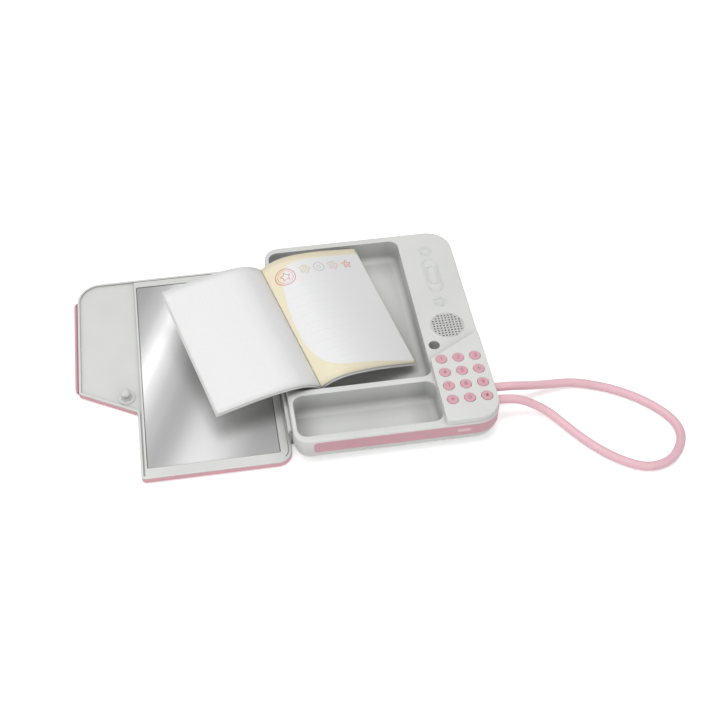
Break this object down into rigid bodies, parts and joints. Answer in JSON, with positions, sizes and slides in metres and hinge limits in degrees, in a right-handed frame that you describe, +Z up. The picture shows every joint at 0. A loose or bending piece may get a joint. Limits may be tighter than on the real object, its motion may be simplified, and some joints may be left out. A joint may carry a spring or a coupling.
{
  "type": "electronic secret diary",
  "caption": "Electronic secret diary lying open: lid with a mirror, casing with compartments, keypad, speaker and latch, an open notebook and a wrist cord.",
  "frame": {"origin": "centre of the casing's flat underside", "axes": "+X from the lid towards the keypad, +Y from the front edge to the back edge, +Z up out of the deck"},
  "size_m": [0.4155, 0.2301, 0.0435],
  "materials": {
    "casing_plastic": "satin light grey",
    "band_plastic": "satin dusty pink",
    "key_plastic": "glossy pink",
    "cover_plastic": "satin pink",
    "post_plastic": "satin",
    "mat_rubber": "matte",
    "board": "lacquered board",
    "dark_plastic": "matte black",
    "bare_metal": "bare",
    "cell_metal": "printed sleeve",
    "screw_steel": "plated",
    "cord_plastic": "soft satin pink",
    "mirror": "silvered",
    "paper": "uncoated paper",
    "card": "coated card"
  },
  "bodies": {
    "casing": {"top_casing": "casing_plastic", "base_shell": "casing_plastic", "side_band": "band_plastic", "keypad_panel": "casing_plastic", "key_mat": "mat_rubber", "main_board": "board", "controller_chip": "dark_plastic", "microphone": "bare_metal", "battery_cells": "cell_metal", "battery_contacts": "bare_metal", "battery_door": "casing_plastic", "battery_door_screw": "screw_steel", "case_screws": "screw_steel", "speaker_grille": "casing_plastic", "speaker": "dark_plastic", "solenoid": "bare_metal", "hinge_pin": "screw_steel", "cord_ports": "band_plastic", "wrist_cord": "cord_plastic"},
    "lid": {"lid_cover": "cover_plastic", "lid_liner": "casing_plastic", "mirror_pad": "mat_rubber", "mirror": "mirror", "latch_post": "post_plastic"},
    "bolt": {"latch_bolt": "bare_metal"},
    "notebook_back": {"notebook_back_pages": "paper", "notebook_back_cover": "card"},
    "notebook_front": {"notebook_front_pages": "paper", "notebook_front_cover": "card"},
    "key_1_body": {"key_1": "key_plastic"},
    "key_2_body": {"key_2": "key_plastic"},
    "key_3_body": {"key_3": "key_plastic"},
    "key_4_body": {"key_4": "key_plastic"},
    "key_5_body": {"key_5": "key_plastic"},
    "key_6_body": {"key_6": "key_plastic"},
    "key_7_body": {"key_7": "key_plastic"},
    "key_8_body": {"key_8": "key_plastic"},
    "key_9_body": {"key_9": "key_plastic"},
    "key_star_body": {"key_star": "key_plastic"},
    "key_0_body": {"key_0": "key_plastic"},
    "key_hash_body": {"key_hash": "key_plastic"}
  },
  "joints": [
    {"name": "lid_hinge", "type": "hinge", "parent": "casing", "child": "lid", "pos_m": [-0.0722, 0, 0.01485], "axis": [0, 1, 0], "range_deg": [0, 180]},
    {"name": "key_1_press", "type": "slide", "parent": "casing", "child": "key_1_body", "axis": [0, 0, -1], "range_m": [0, 0.001], "stiffness_N_per_m": 250},
    {"name": "key_2_press", "type": "slide", "parent": "casing", "child": "key_2_body", "axis": [0, 0, -1], "range_m": [0, 0.001], "stiffness_N_per_m": 250},
    {"name": "key_3_press", "type": "slide", "parent": "casing", "child": "key_3_body", "axis": [0, 0, -1], "range_m": [0, 0.001], "stiffness_N_per_m": 250},
    {"name": "key_4_press", "type": "slide", "parent": "casing", "child": "key_4_body", "axis": [0, 0, -1], "range_m": [0, 0.001], "stiffness_N_per_m": 250},
    {"name": "key_5_press", "type": "slide", "parent": "casing", "child": "key_5_body", "axis": [0, 0, -1], "range_m": [0, 0.001], "stiffness_N_per_m": 250},
    {"name": "key_6_press", "type": "slide", "parent": "casing", "child": "key_6_body", "axis": [0, 0, -1], "range_m": [0, 0.001], "stiffness_N_per_m": 250},
    {"name": "key_7_press", "type": "slide", "parent": "casing", "child": "key_7_body", "axis": [0, 0, -1], "range_m": [0, 0.001], "stiffness_N_per_m": 250},
    {"name": "key_8_press", "type": "slide", "parent": "casing", "child": "key_8_body", "axis": [0, 0, -1], "range_m": [0, 0.001], "stiffness_N_per_m": 250},
    {"name": "key_9_press", "type": "slide", "parent": "casing", "child": "key_9_body", "axis": [0, 0, -1], "range_m": [0, 0.001], "stiffness_N_per_m": 250},
    {"name": "key_star_press", "type": "slide", "parent": "casing", "child": "key_star_body", "axis": [0, 0, -1], "range_m": [0, 0.001], "stiffness_N_per_m": 250},
    {"name": "key_0_press", "type": "slide", "parent": "casing", "child": "key_0_body", "axis": [0, 0, -1], "range_m": [0, 0.001], "stiffness_N_per_m": 250},
    {"name": "key_hash_press", "type": "slide", "parent": "casing", "child": "key_hash_body", "axis": [0, 0, -1], "range_m": [0, 0.001], "stiffness_N_per_m": 250},
    {"name": "latch_slide", "type": "slide", "parent": "casing", "child": "bolt", "axis": [-1, 0, 0], "range_m": [0, 0.0018], "stiffness_N_per_m": 60},
    {"name": "notebook_seat", "type": "hinge", "parent": "casing", "child": "notebook_back", "pos_m": [0.03332, -0.07662, -0.00807], "axis": [-0.4416, -0.4982, -0.7461], "range_deg": [0, 11.64], "deforming": ["notebook_back_pages", "notebook_back_cover"]},
    {"name": "notebook_fold", "type": "hinge", "parent": "notebook_back", "child": "notebook_front", "pos_m": [-0.04945, -0.04614, 0.02478], "axis": [-0.2312, 0.9673, 0.1045], "range_deg": [0, 180], "deforming": ["notebook_front_pages", "notebook_front_cover"]}
  ],
  "couplings": [
    {"joint": "notebook_seat", "follows": "lid_hinge", "ratio": 0.06465},
    {"joint": "notebook_fold", "follows": "lid_hinge", "ratio": 1}
  ]
}
